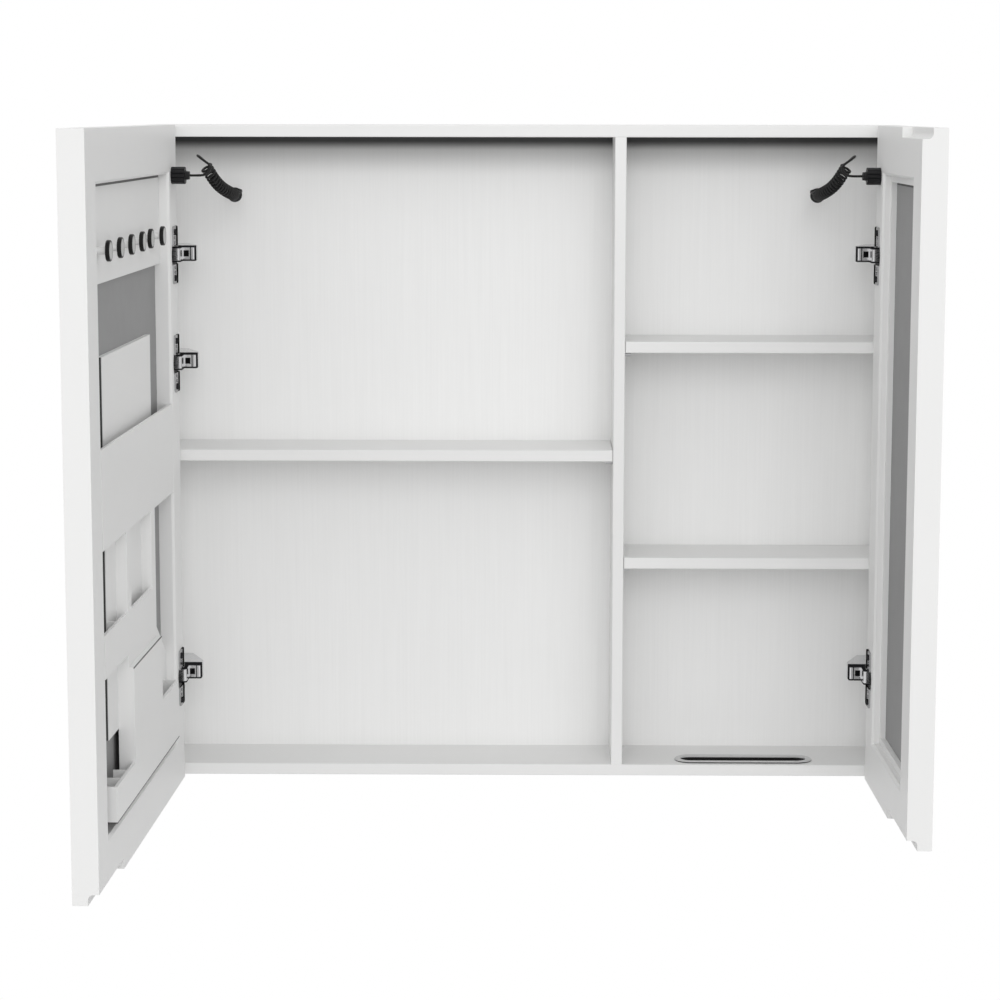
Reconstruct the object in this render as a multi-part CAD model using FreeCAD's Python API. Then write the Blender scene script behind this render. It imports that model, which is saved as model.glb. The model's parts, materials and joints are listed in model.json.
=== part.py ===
import FreeCAD, Part
import math
import os

os.makedirs("parts", exist_ok=True)
V = FreeCAD.Vector

# Cabinet box, in millimetres. X runs along the wall, +Y into it, and the origin is on the wall,
# midway between the two keyhole hangers.
cabinet_width = 800.0
cabinet_height = 700.0
inside_depth = 91.0            # front edge of the boards to the back panel
side_board = 12.0
top_board = 12.5
bottom_board = 12.0
shelf_board = 12.0
divider_board = 12.0
back_board = 5.0
divider_place = 100.0          # centre of the divider from the middle of the cabinet
left_shelf_top = 355.5         # heights are counted from the underside of the cabinet
upper_shelf_top = 472.0
lower_shelf_top = 239.5
shelf_end_gap = 0.5
shelf_back_gap = 0.5
board_ease = 0.6               # broken edge along the fronts of the boards

# Shelf pins
pin_radius = 2.5
pin_in_board = 7.0
pin_out = 7.0
pin_edge_space = 20.0          # pin centre from the shelf's front and back edge
pin_hole_clearance = 0.05

# Rails and keyhole hangers behind the back panel
rail_thick = 12.0
hanging_rail_height = 62.0
lower_rail_height = 40.0
hanger_drop = 50.0             # hanger holes below the top of the cabinet
hanger_spacing = 600.0
hanger_plate_width = 34.0
hanger_plate_height = 46.0
hanger_plate_thick = 2.0
hanger_plate_gap = 0.1
hanger_hole_radius = 5.0
hanger_slot_width = 5.0
hanger_slot_rise = 14.0
hanger_pocket_depth = 6.0
hanger_pocket_wall = 5.0

# Tissue slot in the bottom of the right bay
tissue_slot_length = 137.0
tissue_slot_width = 23.0
tissue_place = 239.0           # slot centre from the middle of the cabinet
tissue_from_front = 25.0
bezel_wall = 3.0
bezel_rim = 3.5
bezel_rim_thick = 1.6
bezel_ease = 0.9
bezel_clearance = 0.1

# Doors
door_thick = 25.0
door_side_reveal = 2.25
door_meeting_place = 98.75     # middle of the gap between the doors from the middle of the cabinet
door_meeting_gap = 1.5
door_seat_gap = 3.5            # closed door to the front edges of the boards
frame_width = 50.0
frame_lip = 6.0
frame_lip_thick = 2.5
frame_bevel = 2.5
hinge_edge_radius = 4.0
left_open_angle = 92.0
right_open_angle = 91.0
mirror_thick = 4.0
mirror_edge_gap = 0.4
left_backing_thick = 2.5
right_backing_thick = 5.0
bead_thick = 5.5
bead_width = 7.0

# Finger pulls milled in the inner half of the door edge
pull_length = 125.0
pull_height = 10.5
pull_depth = 10.5
pull_corner = 5.0

# Inside of the left door
insert_board = 5.2             # boards fixed to the mirror backing
insert_gap = 0.3               # boards and fittings to the door frame
hook_board_height = 93.0
hook_board_ease = 0.8
hook_count = 6
hook_spacing = 59.3
hook_rise = 31.4               # hook centres above the lower edge of the hook board
hook_disc_radius = 9.8
hook_disc_thick = 4.0
hook_disc_ease = 0.5
hook_proud = 3.2               # disc faces in front of the inner face of the door
hook_peg_radius = 3.5
low_hook = 1                   # place in the row of the hook that is pushed further in
low_hook_sink = 2.0
panel_width = 261.0
panel_gap = 68.0               # organizer panel to the hook board
panel_bottom = 126.5
organizer_top = 411.0
niche_top = 318.0
niche_bottom = 240.0
niche_strip = 21.0
free_slot_top = 199.0
pocket_wall = 3.0              # fronts, floors and ends of the open pockets
pocket_divider = 2.0
rail_pocket = 45.0             # length of the pocket next to the short strip
fascia_top = 186.7
lower_proud = 5.2              # lower fronts in front of the inner face of the door
lower_end_gap = 18.5           # lower fronts to the ends of the organizer
hinge_slot_floor = 120.5
slot_pocket = 20.0             # length of the pocket next to the fascia
ledge_top = 77.0
ledge_bottom = 59.0
tray_top = 93.8
rack_base = 1.5
rack_places = 3
slot_board_low = 148.0         # sloping top edge of the board in the tall slot
slot_board_high = 192.0

# Cup hinges with one pivot, the fixed arm reaching into the cup
lower_hinge_rise = 114.0       # lowest hinges above the underside of the cabinet
upper_hinge_drop = 135.0       # top hinges below the top of the cabinet
middle_hinge_drop = 249.0      # third hinge of the wide door below the top of the cabinet
pivot_inset = 13.0             # from the hinge edge of the door
pivot_depth = 16.5             # from the inner face of the door
hinge_pin_radius = 1.75
hinge_pin_fit = 0.05
cup_radius = 17.5
cup_wall = 1.0
cup_inset = 21.0               # cup centre from the hinge edge of the door
cup_room = 20.6                # depth inside the cup
cup_floor = 0.8
cup_bore_gap = 0.1
flange_thick = 1.8
flange_inner = 8.0             # flange edges from the hinge edge of the door
flange_outer = 34.0
flange_length = 60.0
flange_corner = 2.0
cup_screw_inset = 27.0
cup_screw_spacing = 48.0
rivet_spacings = (26.0, 36.0)
rivet_radius = 1.5
rivet_high = 0.7
screw_head_radius = 3.6
screw_crown_radius = 2.7
screw_head_high = 1.5
screw_shank_radius = 1.7
screw_length = 12.0
screw_hole_gap = 0.05
bar_sides = 10                 # flats on the small pins, rivets and screws
arm_width = 16.0
arm_window = 19.0              # height of the opening that the arm goes through
arm_eye_radius = 3.6
arm_bar = 3.6
arm_bar_lift = 0.6              # back face of the bar behind the middle of the pin
arm_web = 3.0
arm_web_inset = 36.75          # outer face of the web from the outside of the cabinet
arm_hump = 50.0
arm_front_gap = 1.0            # hump in front of the front edges of the boards
arm_hump_length = 21.0
arm_tail = 34.0
arm_end = 60.0
arm_seat_start = 18.0
arm_neck = 10.0                # rise from the seat to the web
arm_ease = 2.5
arm_slot_edge = 1.0            # adjusting slot in the hump, from the outer face of the web
arm_slot_width = 5.5
arm_slot_height = 6.5
arm_slot_depth = 8.0
arm_groove_place = 44.5        # groove across the hump from the outside of the cabinet
arm_groove = 1.0
plate_thick = 5.0
plate_start = 20.0
plate_end = 56.0
plate_half = 9.0
wing_thick = 2.2
wing_half_width = 7.0
wing_reach = 24.0
wing_setback = 37.0
wing_corner = 4.2
plate_screw_spacing = 32.0

# Curly leads from the back panel to the doors
lead_radius = 1.3
lead_sides = 6
lead_facet_turn = 31.0          # degrees that the lead turns from one flat to the next
gland_inset = 30.0              # gland centre from the hinge edge of the door
gland_drop = 52.0              # below the top of the cabinet
gland_radius = 8.9
gland_length = 14.3
gland_flutes = 12
gland_flute_depth = 0.9
gland_neck_radius = 4.75
gland_neck_end_radius = 4.2
gland_neck_length = 4.4
coil_radius = 5.5
coil_start = 0.25              # part of a turn from the back of the coil to its first point
coil_turns = 20.0
lead_straight = 5.2            # straight ends of the lead
grommet_inset = 83.0           # grommet centre from the outside of the cabinet
grommet_drop = 76.0            # below the top of the cabinet
grommet_radius = 8.0
grommet_nose_radius = 4.0
grommet_high = 6.0
grommet_sleeve_radius = 5.0
grommet_clearance = 0.1
# Middle line of the coil: in from the outside of the cabinet, back from the front, down from the top
coil_route = [
    (66.4, -30.0, 43.6),
    (69.7, -26.5, 49.8),
    (73.2, -21.0, 56.7),
    (78.0, -12.0, 63.8),
    (84.1, 1.0, 69.5),
    (88.3, 20.0, 73.0),
    (87.5, 36.0, 74.0),
]
# Places and directions of the lead in front of the coil and round the loop that stands above it
lead_rise = [
    ((63.3, -39.4, 51.7), (1.0, -0.15, 0.15)),
    ((69.9, -40.4, 40.0), (-0.8, 0.0, 0.6)),
    ((57.8, -33.0, 31.5), (0.0, 1.0, 0.0)),
    ((66.9, -26.0, 39.4), (0.8, -0.15, -0.6)),
]

# Sizes that follow from the ones above
cabinet_depth = inside_depth + back_board + rail_thick
front_y = -cabinet_depth
hanger_height = cabinet_height - hanger_drop
bottom_z = -hanger_height
half_width = cabinet_width / 2
inside_half = half_width - side_board
inside_top = cabinet_height - top_board
back_y = front_y + inside_depth
divider_left = divider_place - divider_board / 2
divider_right = divider_place + divider_board / 2
recess_floor = door_thick - frame_lip_thick - mirror_thick
left_recess = recess_floor - left_backing_thick
right_recess = recess_floor - right_backing_thick
insert_depth = left_recess - insert_board
hook_board_bottom = cabinet_height - frame_width - hook_board_height
panel_top = hook_board_bottom - panel_gap
gland_height = cabinet_height - gland_drop
exported = []


def block(x0, x1, y0, y1, z0, z1):
    """Box between two corners, heights counted from the underside of the cabinet."""
    corner = V(min(x0, x1), min(y0, y1), bottom_z + min(z0, z1))
    return Part.makeBox(abs(x1 - x0), abs(y1 - y0), abs(z1 - z0), corner)


def save(name, shape):
    """Writes one node."""
    shape.exportStep("parts/" + name + ".step")
    exported.append(name)


def ease_front(shape):
    """Breaks the edges round the front face of a cabinet board."""
    front = shape.BoundBox.YMin
    edges = [e for e in shape.Edges if e.BoundBox.YMax < front + 0.001]
    return shape.makeChamfer(board_ease, edges)


def ring(centre, axis, radius, sides):
    """Closed outline with equal sides, square to a level or upright axis."""
    up = V(0, 1, 0) if abs(axis.z) > 0.5 else V(0, 0, 1)
    across = axis.cross(up)
    points = []
    for number in range(sides):
        turn = 2 * math.pi * number / sides
        points.append(centre + (across * math.cos(turn) + up * math.sin(turn)) * radius)
    return Part.makePolygon(points + points[:1])


def bar(start, axis, radius, length):
    """Small pin or shank with flats."""
    return Part.Face(ring(start, axis, radius, bar_sides)).extrude(axis * length)


# Door helpers: s runs from the hinge edge, d outwards from the inner face, z from the underside
def make_door(side, width, angle):
    """Numbers that place one door; side is -1 on the left and 1 on the right."""
    pivot = V(side * (half_width - door_side_reveal - pivot_inset), front_y - door_seat_gap - pivot_depth, 0)
    return {"side": side, "width": width, "angle": angle, "pivot": pivot}


def door_point(door, s, d, z):
    """Point on a closed door."""
    x = door["side"] * (half_width - door_side_reveal - s)
    return V(x, front_y - door_seat_gap - d, bottom_z + z)


def door_block(door, s0, s1, d0, d1, z0, z1):
    """Box on a closed door."""
    a = door_point(door, s0, d0, z0)
    b = door_point(door, s1, d1, z1)
    return block(a.x, b.x, a.y, b.y, z0, z1)


def door_disc(door, s, z, radius, d0, d1):
    """Cylinder square to the face of a closed door."""
    start = door_point(door, s, max(d0, d1), z)
    return Part.makeCylinder(radius, abs(d1 - d0), start, V(0, 1, 0))


def swing(door, shape):
    """Turns a piece of a closed door to the open rest pose."""
    turned = shape.copy()
    turned.rotate(door["pivot"], V(0, 0, 1), door["side"] * door["angle"])
    return turned


def save_on_door(door, name, shape):
    """Writes one node of a door in its rest pose."""
    save(name, swing(door, shape))


def ease_inner(door, shape, size):
    """Breaks the edges that a piece shows towards the inside of the cabinet."""
    inner = shape.BoundBox.YMax
    edges = [e for e in shape.Edges if e.BoundBox.YMin > inner - 0.001]
    return shape.makeChamfer(size, edges)


door_half_sum = half_width - door_side_reveal - door_meeting_gap / 2
left_door = make_door(-1, door_half_sum + door_meeting_place, left_open_angle)
right_door = make_door(1, door_half_sum - door_meeting_place, right_open_angle)


# Cabinet boards
def shelf_pin_places(x_left, x_right, top):
    """Centres and directions of the four pins under one shelf."""
    places = []
    z = bottom_z + top - shelf_board - pin_radius
    for y in (front_y + pin_edge_space, back_y - pin_edge_space):
        places.append((V(x_left, y, z), V(-1, 0, 0)))
        places.append((V(x_right, y, z), V(1, 0, 0)))
    return places


pin_places = shelf_pin_places(-inside_half, divider_left, left_shelf_top)
pin_places += shelf_pin_places(divider_right, inside_half, upper_shelf_top)
pin_places += shelf_pin_places(divider_right, inside_half, lower_shelf_top)


def drill_pin_holes(board):
    """Cuts the shelf pin holes that fall in a board."""
    for place, inwards in pin_places:
        hole = bar(place, inwards, pin_radius + pin_hole_clearance, pin_in_board)
        board = board.cut(hole)
    return board


def stadium(length, width, z0, z1, cx, cy):
    """Slot-shaped solid with round ends, long in X."""
    radius = width / 2
    straight = length / 2 - radius
    left_end = V(cx - straight, cy, bottom_z + z0)
    right_end = V(cx + straight, cy, bottom_z + z0)
    near = V(0, -radius, 0)
    far = V(0, radius, 0)
    edges = [
        Part.makeLine(left_end + near, right_end + near),
        Part.Arc(right_end + near, right_end + V(radius, 0, 0), right_end + far).toShape(),
        Part.makeLine(right_end + far, left_end + far),
        Part.Arc(left_end + far, left_end + V(-radius, 0, 0), left_end + near).toShape(),
    ]
    return Part.Face(Part.Wire(edges)).extrude(V(0, 0, z1 - z0))


tissue_y = front_y + tissue_from_front
sleeve_length = tissue_slot_length + 2 * bezel_wall
sleeve_width = tissue_slot_width + 2 * bezel_wall


def build_cabinet():
    """The fixed boards."""
    for name, side in (("left_side", -1), ("right_side", 1)):
        board = block(side * inside_half, side * half_width, front_y, 0, 0, cabinet_height)
        board = drill_plate_screws(ease_front(board), side)
        save(name, drill_pin_holes(board))
    save("top_panel", ease_front(block(-inside_half, inside_half, front_y, 0, inside_top, cabinet_height)))
    bottom = ease_front(block(-inside_half, inside_half, front_y, 0, 0, bottom_board))
    cut = stadium(sleeve_length + 2 * bezel_clearance, sleeve_width + 2 * bezel_clearance,
                  0, bottom_board, tissue_place, tissue_y)
    save("bottom_panel", bottom.cut(cut))
    divider = ease_front(block(divider_left, divider_right, front_y, back_y, bottom_board, inside_top))
    save("divider", drill_pin_holes(divider))
    back = block(-inside_half, inside_half, back_y, back_y + back_board, bottom_board, inside_top)
    for side in (-1, 1):
        place = side_point(side, grommet_inset, inside_depth, grommet_drop)
        hole_radius = grommet_sleeve_radius + grommet_clearance
        back = back.cut(Part.makeCylinder(hole_radius, back_board, place, V(0, 1, 0)))
    save("back_panel", back)
    shelves = (
        ("left_shelf", -inside_half, divider_left, left_shelf_top),
        ("upper_right_shelf", divider_right, inside_half, upper_shelf_top),
        ("lower_right_shelf", divider_right, inside_half, lower_shelf_top),
    )
    for name, x_left, x_right, top in shelves:
        shelf = block(x_left + shelf_end_gap, x_right - shelf_end_gap, front_y, back_y - shelf_back_gap,
                      top - shelf_board, top)
        save(name, ease_front(shelf))
    pins = []
    for place, inwards in pin_places:
        start = place + inwards * pin_in_board
        pins.append(bar(start, inwards * -1, pin_radius, pin_in_board + pin_out))
    save("shelf_pins", Part.makeCompound(pins))


def build_bezel():
    """Ring that lines the tissue slot."""
    rim = stadium(sleeve_length + 2 * bezel_rim, sleeve_width + 2 * bezel_rim,
                  bottom_board, bottom_board + bezel_rim_thick, tissue_place, tissue_y)
    top_edges = [e for e in rim.Edges if e.BoundBox.ZMin > rim.BoundBox.ZMax - 0.001]
    rim = rim.makeChamfer(bezel_ease, top_edges)
    sleeve = stadium(sleeve_length, sleeve_width, 0, bottom_board, tissue_place, tissue_y)
    slot = stadium(tissue_slot_length, tissue_slot_width, 0, bottom_board + bezel_rim_thick,
                   tissue_place, tissue_y)
    save("tissue_bezel", rim.fuse(sleeve).cut(slot).removeSplitter())


def keyhole(x, y0, y1):
    """Round entry hole with a narrower slot above it."""
    depth = y1 - y0
    hole = Part.makeCylinder(hanger_hole_radius, depth, V(x, y0, 0), V(0, 1, 0))
    half = hanger_slot_width / 2
    slot = Part.makeBox(2 * half, depth, hanger_slot_rise, V(x - half, y0, 0))
    crown = Part.makeCylinder(half, depth, V(x, y0, hanger_slot_rise), V(0, 1, 0))
    return hole.fuse(slot).fuse(crown).removeSplitter()


def build_rails():
    """Rails behind the back panel and the keyhole hangers let into the upper one."""
    rail_y = back_y + back_board
    upper = block(-inside_half, inside_half, rail_y, 0, inside_top - hanging_rail_height, inside_top)
    lower = block(-inside_half, inside_half, rail_y, 0, bottom_board, bottom_board + lower_rail_height)
    hangers = []
    half = hanger_plate_width / 2
    low = hanger_height - (hanger_plate_height - hanger_slot_rise) / 2
    high = low + hanger_plate_height
    for side in (-1, 1):
        x = side * hanger_spacing / 2
        seat = block(x - half - hanger_plate_gap, x + half + hanger_plate_gap, -hanger_plate_thick, 0,
                     low - hanger_plate_gap, high + hanger_plate_gap)
        inset = hanger_pocket_wall
        pocket = block(x - half + inset, x + half - inset, -hanger_plate_thick - hanger_pocket_depth,
                       -hanger_plate_thick, low + inset, high - inset)
        upper = upper.cut(seat).cut(pocket)
        plate = block(x - half, x + half, -hanger_plate_thick, 0, low, high)
        hangers.append(plate.cut(keyhole(x, -hanger_plate_thick, 0)))
    save("hanging_rail", upper)
    save("lower_rail", lower)
    save("wall_hangers", Part.makeCompound(hangers))


# Hinges
def hinge_heights(side):
    """Heights of the hinges on one side; only the wide door has the middle one."""
    heights = [lower_hinge_rise, cabinet_height - upper_hinge_drop]
    if side < 0:
        heights.insert(1, cabinet_height - middle_hinge_drop)
    return heights


def plate_screw_places(side):
    """Points on the face of the side board where the plate screws go in."""
    places = []
    for height in hinge_heights(side):
        for dz in (-plate_screw_spacing / 2, plate_screw_spacing / 2):
            places.append(V(side * inside_half, front_y + wing_setback, bottom_z + height + dz))
    return places


def drill_plate_screws(board, side):
    """Cuts the plate screw holes in a side board."""
    depth = screw_length - wing_thick
    for place in plate_screw_places(side):
        hole = bar(place, V(side, 0, 0), screw_shank_radius + screw_hole_gap, depth)
        board = board.cut(hole)
    return board


def screw(head_seat, inwards, grip):
    """Pan-head screw whose head sits on head_seat."""
    rim = ring(head_seat, inwards, screw_head_radius, bar_sides)
    crown = ring(head_seat - inwards * screw_head_high, inwards, screw_crown_radius, bar_sides)
    return Part.makeLoft([rim, crown], True, True).fuse(bar(head_seat, inwards, screw_shank_radius, grip))


def hinge_plate(side, height):
    """Mounting plate with a raised seat for the arm and two screw wings."""
    wall = side * inside_half
    seat = block(wall, wall - side * plate_thick, front_y + plate_start, front_y + plate_end,
                 height - plate_half, height + plate_half)
    wing = block(wall, wall - side * wing_thick, front_y + wing_setback - wing_half_width,
                 front_y + wing_setback + wing_half_width, height - wing_reach, height + wing_reach)
    ends = [e for e in wing.Edges if e.BoundBox.YLength < 0.001 and e.BoundBox.ZLength < 0.001]
    wing = wing.makeChamfer(wing_corner, ends)
    plate = seat.fuse(wing)
    for dz in (-plate_screw_spacing / 2, plate_screw_spacing / 2):
        start = V(wall, front_y + wing_setback, bottom_z + height + dz)
        plate = plate.cut(bar(start, V(-side, 0, 0), screw_shank_radius + screw_hole_gap, plate_thick))
    return plate


def hinge_arm(side, height):
    """Goose-neck arm: seat on the plate, hump, web into the cup and an eye round the pin."""
    pivot_u = door_side_reveal + pivot_inset
    pivot_y = -door_seat_gap - pivot_depth
    bar_low = pivot_y - arm_bar + arm_bar_lift
    bar_high = bar_low + arm_bar
    seat_u = side_board + plate_thick
    outline = [
        (pivot_u, bar_low), (arm_web_inset, bar_low), (arm_web_inset, -arm_front_gap),
        (arm_hump, -arm_front_gap), (arm_hump, arm_hump_length - arm_front_gap), (arm_tail, arm_end),
        (seat_u, arm_end), (seat_u, arm_seat_start), (arm_web_inset - arm_web, arm_seat_start - arm_neck),
        (arm_web_inset - arm_web, bar_high), (pivot_u, bar_high),
    ]
    base = bottom_z + height - arm_width / 2
    points = [V(side * (half_width - u), front_y + y, base) for u, y in outline]
    body = Part.Face(Part.makePolygon(points + points[:1])).extrude(V(0, 0, arm_width))
    eased = []
    for corner in (points[1], points[3], points[4], points[5]):
        for edge in body.Edges:
            middle = edge.BoundBox.Center
            upright = edge.BoundBox.ZLength > arm_width - 0.01
            if upright and math.hypot(middle.x - corner.x, middle.y - corner.y) < 0.01:
                eased.append(edge)
    body = body.makeFillet(arm_ease, eased)
    slot_x = side * (half_width - arm_web_inset - arm_slot_edge)
    face_y = front_y - arm_front_gap
    slot = block(slot_x, slot_x - side * arm_slot_width, face_y, face_y + arm_slot_depth,
                 height - arm_slot_height / 2, height + arm_slot_height / 2)
    groove_x = side * (half_width - arm_groove_place)
    groove = block(groove_x, groove_x - side * arm_groove, face_y, face_y + arm_groove,
                   height - arm_width / 2, height + arm_width / 2)
    body = body.cut(slot).cut(groove)
    centre = V(side * (half_width - pivot_u), front_y + pivot_y, base)
    eye = Part.makeCylinder(arm_eye_radius, arm_width, centre)
    bore = Part.makeCylinder(hinge_pin_radius + hinge_pin_fit, arm_width, centre)
    return body.fuse(eye).cut(bore).removeSplitter()


def hinge_cup(door, height):
    """Deep cup under a screw flange, with an opening for the arm."""
    outer = door_disc(door, cup_inset, height, cup_radius, 0, cup_room + cup_floor)
    flange = door_block(door, flange_inner, flange_outer, -flange_thick, 0,
                        height - flange_length / 2, height + flange_length / 2)
    ends = [e for e in flange.Edges if e.BoundBox.XLength < 0.001 and e.BoundBox.ZLength < 0.001]
    flange = flange.makeChamfer(flange_corner, ends)
    cup = outer.fuse(flange)
    cup = cup.cut(door_disc(door, cup_inset, height, cup_radius - cup_wall, 0, cup_room))
    cup = cup.cut(door_block(door, flange_inner, flange_outer, -flange_thick, 0,
                             height - arm_window / 2, height + arm_window / 2))
    for spacing in rivet_spacings:
        for dz in (-spacing / 2, spacing / 2):
            seat = door_point(door, cup_screw_inset, -flange_thick, height + dz)
            cup = cup.fuse(bar(seat, V(0, 1, 0), rivet_radius, rivet_high))
    for dz in (-cup_screw_spacing / 2, cup_screw_spacing / 2):
        seat = door_point(door, cup_screw_inset, -flange_thick, height + dz)
        cup = cup.cut(bar(seat, V(0, -1, 0), screw_shank_radius + screw_hole_gap, flange_thick))
    return cup.cut(hinge_pin(door, height, screw_hole_gap)).removeSplitter()


def hinge_pin(door, height, extra):
    """Pin across the cup, ending in its wall."""
    offset = cup_inset - pivot_inset
    half = math.sqrt(cup_radius ** 2 - (abs(offset) + hinge_pin_radius) ** 2)
    start = door_point(door, pivot_inset, pivot_depth, height - half)
    return bar(start, V(0, 0, 1), hinge_pin_radius + extra, 2 * half)


def build_hinges():
    """Plates, arms, pins, cups and their screws on both sides."""
    plates = []
    plate_screws = []
    for door, label in ((left_door, "left"), (right_door, "right")):
        side = door["side"]
        pins = []
        cup_screws = []
        for number, height in enumerate(hinge_heights(side), 1):
            plates.append(hinge_plate(side, height))
            save("%s_hinge_arm_%d" % (label, number), hinge_arm(side, height))
            save_on_door(door, "%s_hinge_cup_%d" % (label, number), hinge_cup(door, height))
            pins.append(swing(door, hinge_pin(door, height, 0.0)))
            for dz in (-cup_screw_spacing / 2, cup_screw_spacing / 2):
                seat = door_point(door, cup_screw_inset, -flange_thick, height + dz)
                cup_screws.append(swing(door, screw(seat, V(0, -1, 0), screw_length)))
        for place in plate_screw_places(side):
            plate_screws.append(screw(place + V(-side * wing_thick, 0, 0), V(side, 0, 0), screw_length))
        save(label + "_hinge_pins", Part.makeCompound(pins))
        save(label + "_cup_screws", Part.makeCompound(cup_screws))
    save("hinge_plates", Part.makeCompound(plates))
    save("plate_screws", Part.makeCompound(plate_screws))


# Door frames
def bevel_tool(door):
    """Tapered block that bevels the inner edge of the frame all round."""
    far = door["width"] - frame_width
    high = cabinet_height - frame_width

    def outline(grow, d):
        corners = [(frame_width - grow, frame_width - grow), (far + grow, frame_width - grow),
                   (far + grow, high + grow), (frame_width - grow, high + grow)]
        points = [door_point(door, s, d, z) for s, z in corners]
        return Part.makePolygon(points + points[:1])
    return Part.makeLoft([outline(frame_bevel, 0), outline(0, frame_bevel)], True, True)


def finger_pull(door, at_top):
    """Cutter for the finger pull at a free corner of a door."""
    edge = cabinet_height if at_top else 0.0
    inwards = -1 if at_top else 1
    start = door["width"] - pull_length
    tool = door_block(door, start, door["width"], 0, pull_depth, edge, edge + inwards * pull_height)
    deep = door_point(door, start, pull_depth, edge + inwards * pull_height)
    corner = [e for e in tool.Edges if e.BoundBox.XLength > pull_length - 0.01 and
              abs(e.BoundBox.Center.y - deep.y) < 0.01 and abs(e.BoundBox.Center.z - deep.z) < 0.01]
    return tool.makeFillet(pull_corner, corner)


def build_frame(door, label, pulls):
    """Stiles and rails of one door, with the lip that holds the mirror from the front."""
    far = door["width"] - frame_width
    high = cabinet_height - frame_width
    lip_d = door_thick - frame_lip_thick
    bevel = bevel_tool(door)
    hinge_stile = door_block(door, 0, frame_width, 0, door_thick, 0, cabinet_height)
    corner = door_point(door, 0, 0, 0)
    round_edge = [e for e in hinge_stile.Edges if e.BoundBox.ZLength > 1 and
                  abs(e.BoundBox.Center.x - corner.x) < 0.01 and abs(e.BoundBox.Center.y - corner.y) < 0.01]
    hinge_stile = hinge_stile.makeFillet(hinge_edge_radius, round_edge)
    hinge_stile = hinge_stile.fuse(door_block(door, frame_width, frame_width + frame_lip, lip_d, door_thick,
                                              frame_width, high))
    for height in hinge_heights(door["side"]):
        bore = door_disc(door, cup_inset, height, cup_radius + cup_bore_gap, 0, cup_room + cup_floor)
        hinge_stile = hinge_stile.cut(bore)
        for dz in (-cup_screw_spacing / 2, cup_screw_spacing / 2):
            mouth = door_point(door, cup_screw_inset, 0, height + dz)
            hole = bar(mouth, V(0, -1, 0), screw_shank_radius + screw_hole_gap, screw_length - flange_thick)
            hinge_stile = hinge_stile.cut(hole)
    free_stile = door_block(door, far, door["width"], 0, door_thick, 0, cabinet_height)
    free_stile = free_stile.fuse(door_block(door, far - frame_lip, far, lip_d, door_thick, frame_width, high))
    lip_start = frame_width + frame_lip
    lip_end = far - frame_lip
    bottom_rail = door_block(door, frame_width, far, 0, door_thick, 0, frame_width)
    bottom_rail = bottom_rail.fuse(door_block(door, lip_start, lip_end, lip_d, door_thick,
                                              frame_width, frame_width + frame_lip))
    top_rail = door_block(door, frame_width, far, 0, door_thick, high, cabinet_height)
    top_rail = top_rail.fuse(door_block(door, lip_start, lip_end, lip_d, door_thick, high - frame_lip, high))
    members = {"hinge_stile": hinge_stile, "free_stile": free_stile,
               "bottom_rail": bottom_rail, "top_rail": top_rail}
    for name, member in members.items():
        member = member.cut(bevel)
        for at_top in pulls:
            member = member.cut(finger_pull(door, at_top))
        save_on_door(door, "%s_door_%s" % (label, name), member.removeSplitter())


def build_mirror(door, label, backing_thick):
    """Mirror glass and the grey board behind it."""
    s0 = frame_width + mirror_edge_gap
    s1 = door["width"] - s0
    z0 = frame_width + mirror_edge_gap
    z1 = cabinet_height - z0
    glass = door_block(door, s0, s1, recess_floor, recess_floor + mirror_thick, z0, z1)
    save_on_door(door, label + "_mirror", glass)
    backing = door_block(door, s0, s1, recess_floor - backing_thick, recess_floor, z0, z1)
    save_on_door(door, label + "_mirror_backing", backing)


def build_bead(door):
    """Four strips that hold the backing in the right door."""
    d0 = right_recess - bead_thick
    far = door["width"] - frame_width
    high = cabinet_height - frame_width
    inner = frame_width + bead_width
    strips = [
        door_block(door, frame_width, inner, d0, right_recess, frame_width, high),
        door_block(door, far - bead_width, far, d0, right_recess, frame_width, high),
        door_block(door, inner, far - bead_width, d0, right_recess, frame_width, inner),
        door_block(door, inner, far - bead_width, d0, right_recess, high - bead_width, high),
    ]
    save("right_mirror_bead", Part.makeCompound([swing(door, strip) for strip in strips]))


# Fittings inside the left door
def build_hooks(door):
    """Hook board with a row of pegs across the top of the recess, and the disc on each peg."""
    far = door["width"] - frame_width
    high = cabinet_height - frame_width
    board = door_block(door, frame_width + insert_gap, far - insert_gap, insert_depth, left_recess,
                       hook_board_bottom, high - insert_gap)
    board = ease_inner(door, board, hook_board_ease)
    height = hook_board_bottom + hook_rise
    discs = []
    for number in range(hook_count):
        s = door["width"] / 2 + (number - (hook_count - 1) / 2) * hook_spacing
        face = low_hook_sink - hook_proud if number == low_hook else -hook_proud
        disc = door_disc(door, s, height, hook_disc_radius, face, face + hook_disc_thick)
        rims = [e for e in disc.Edges if e.Length > 6 * hook_disc_radius]
        discs.append(swing(door, disc.makeChamfer(hook_disc_ease, rims)))
        board = board.fuse(door_disc(door, s, height, hook_peg_radius, face + hook_disc_thick, insert_depth))
    save_on_door(door, "hook_board", board)
    save("hooks", Part.makeCompound(discs))


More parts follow.
